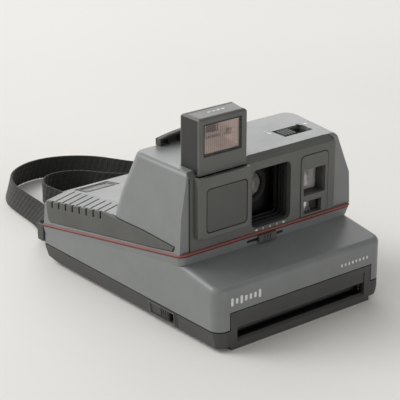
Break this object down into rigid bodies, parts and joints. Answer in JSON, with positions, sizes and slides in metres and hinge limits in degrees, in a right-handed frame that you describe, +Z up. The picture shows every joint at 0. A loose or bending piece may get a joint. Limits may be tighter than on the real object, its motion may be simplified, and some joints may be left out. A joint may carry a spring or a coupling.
{
  "type": "instant camera",
  "caption": "Box-shaped instant film camera with a pop-up flash, sloping rear deck, front film door with a print exit, and a webbing strap.",
  "frame": {"origin": "middle of the flat base, on the surface it stands on; the strap and its lugs aren't counted", "axes": "+X to the right seen from the front, +Y from the front to the back, +Z up"},
  "size_m": [0.1603, 0.2766, 0.118],
  "materials": {
    "shell_grey": "fine moulded texture",
    "shell_black": "fine moulded texture",
    "bezel_dark": "satin",
    "button_dark": "satin",
    "grip_dark": "soft touch",
    "trim_red": "satin",
    "inner_black": "matt",
    "glass_clear": "polished",
    "flash_pane": "ribbed",
    "reflector_bright": "polished",
    "mirror_glass": "polished",
    "steel": "brushed",
    "gear_plastic": "natural",
    "motor_can": "satin",
    "contact_brass": "bare",
    "board_green": "lacquered",
    "part_black": "satin",
    "strap_webbing": "woven webbing"
  },
  "bodies": {
    "camera": {"bottom_shell": "shell_black", "lower_shell": "shell_grey", "red_trim": "trim_red", "upper_cover": "shell_grey", "deck_panel": "bezel_dark", "grip_left": "grip_dark", "grip_right": "grip_dark", "front_bezel": "bezel_dark", "finder_panel": "bezel_dark", "shutter_block": "bezel_dark", "button_spring": "steel", "spring_bracket": "inner_black", "flash_spring": "steel", "lens_tunnel": "shell_black", "lens_mount": "inner_black", "front_lens": "glass_clear", "rear_lens": "glass_clear", "lens_barrel": "inner_black", "shutter_case": "inner_black", "light_box": "inner_black", "mirror": "mirror_glass", "finder_tunnel": "shell_black", "finder_window": "glass_clear", "eyepiece": "glass_clear", "cell_window": "glass_clear", "light_cell": "part_black", "rear_hood": "shell_black", "release_track": "shell_black", "hinge_pin": "steel", "drive_motor": "motor_can", "gear_plate": "steel", "film_frame": "inner_black", "battery_contacts": "contact_brass", "circuit_board": "board_green", "flash_capacitor": "part_black", "frame_screws": "steel", "strap_lugs": "shell_black", "strap": "strap_webbing"},
    "shutter_button": {"shutter_button": "button_dark"},
    "flash_head": {"flash_case": "bezel_dark", "flash_window": "flash_pane", "flash_reflector": "reflector_bright", "flash_tube": "glass_clear", "flash_carriage": "inner_black"},
    "lens_cover": {"lens_cover": "inner_black"},
    "blade_left": {"shutter_blade_left": "inner_black"},
    "blade_right": {"shutter_blade_right": "inner_black"},
    "flash_release": {"flash_release": "button_dark"},
    "exposure_slider": {"exposure_slider": "button_dark"},
    "door_latch": {"door_latch": "shell_black"},
    "film_door": {"film_door": "shell_black", "roller_frame": "steel"},
    "lower_roller": {"lower_roller": "steel", "lower_roller_gear": "gear_plastic"},
    "upper_roller": {"upper_roller": "steel", "upper_roller_gear": "gear_plastic"},
    "drive_gear": {"drive_gear": "gear_plastic"},
    "motor_pinion": {"motor_pinion": "gear_plastic", "motor_shaft": "steel"},
    "film_pick": {"film_pick": "steel"}
  },
  "joints": [
    {"name": "flash_lift", "type": "slide", "parent": "camera", "child": "flash_head", "axis": [0, 0, 1], "range_m": [-0.03, 0], "deforming": ["flash_spring"]},
    {"name": "lens_cover_slide", "type": "slide", "parent": "camera", "child": "lens_cover", "axis": [1, 0, 0], "range_m": [0, 0.03]},
    {"name": "shutter_press", "type": "slide", "parent": "camera", "child": "shutter_button", "axis": [0, 1, 0], "range_m": [0, 0.0006], "stiffness_N_per_m": 600},
    {"name": "flash_release_slide", "type": "slide", "parent": "camera", "child": "flash_release", "axis": [1, 0, 0], "range_m": [0, 0.007], "stiffness_N_per_m": 60},
    {"name": "exposure_slide", "type": "slide", "parent": "camera", "child": "exposure_slider", "axis": [1, 0, 0], "range_m": [-0.005, 0.005]},
    {"name": "latch_slide", "type": "slide", "parent": "camera", "child": "door_latch", "axis": [0, -1, 0], "range_m": [0, 0.003], "stiffness_N_per_m": 150},
    {"name": "film_door_hinge", "type": "hinge", "parent": "camera", "child": "film_door", "pos_m": [0, -0.045, 0.0021], "axis": [1, 0, 0], "range_deg": [0, 80]},
    {"name": "lower_roller_spin", "type": "hinge", "parent": "film_door", "child": "lower_roller", "pos_m": [0, -0.069, 0.0063], "axis": [1, 0, 0], "continuous": true},
    {"name": "upper_roller_spin", "type": "hinge", "parent": "film_door", "child": "upper_roller", "pos_m": [0, -0.069, 0.0138], "axis": [1, 0, 0], "continuous": true},
    {"name": "drive_gear_spin", "type": "hinge", "parent": "camera", "child": "drive_gear", "pos_m": [0, -0.06407, 0.02391], "axis": [1, 0, 0], "continuous": true},
    {"name": "motor_spin", "type": "hinge", "parent": "camera", "child": "motor_pinion", "pos_m": [0, -0.05282, 0.02391], "axis": [1, 0, 0], "continuous": true},
    {"name": "blade_left_slide", "type": "slide", "parent": "camera", "child": "blade_left", "axis": [-1, 0, 0], "range_m": [0, 0.008], "stiffness_N_per_m": 20},
    {"name": "blade_right_slide", "type": "slide", "parent": "camera", "child": "blade_right", "axis": [1, 0, 0], "range_m": [0, 0.008], "stiffness_N_per_m": 20},
    {"name": "film_pick_slide", "type": "slide", "parent": "camera", "child": "film_pick", "axis": [0, -1, 0], "range_m": [0, 0.006], "stiffness_N_per_m": 40}
  ],
  "couplings": [
    {"joint": "lens_cover_slide", "follows": "flash_lift", "ratio": -1},
    {"joint": "upper_roller_spin", "follows": "lower_roller_spin", "ratio": -1},
    {"joint": "drive_gear_spin", "follows": "lower_roller_spin", "ratio": 0.5},
    {"joint": "motor_spin", "follows": "lower_roller_spin", "ratio": -1},
    {"joint": "blade_right_slide", "follows": "blade_left_slide", "ratio": 1}
  ]
}
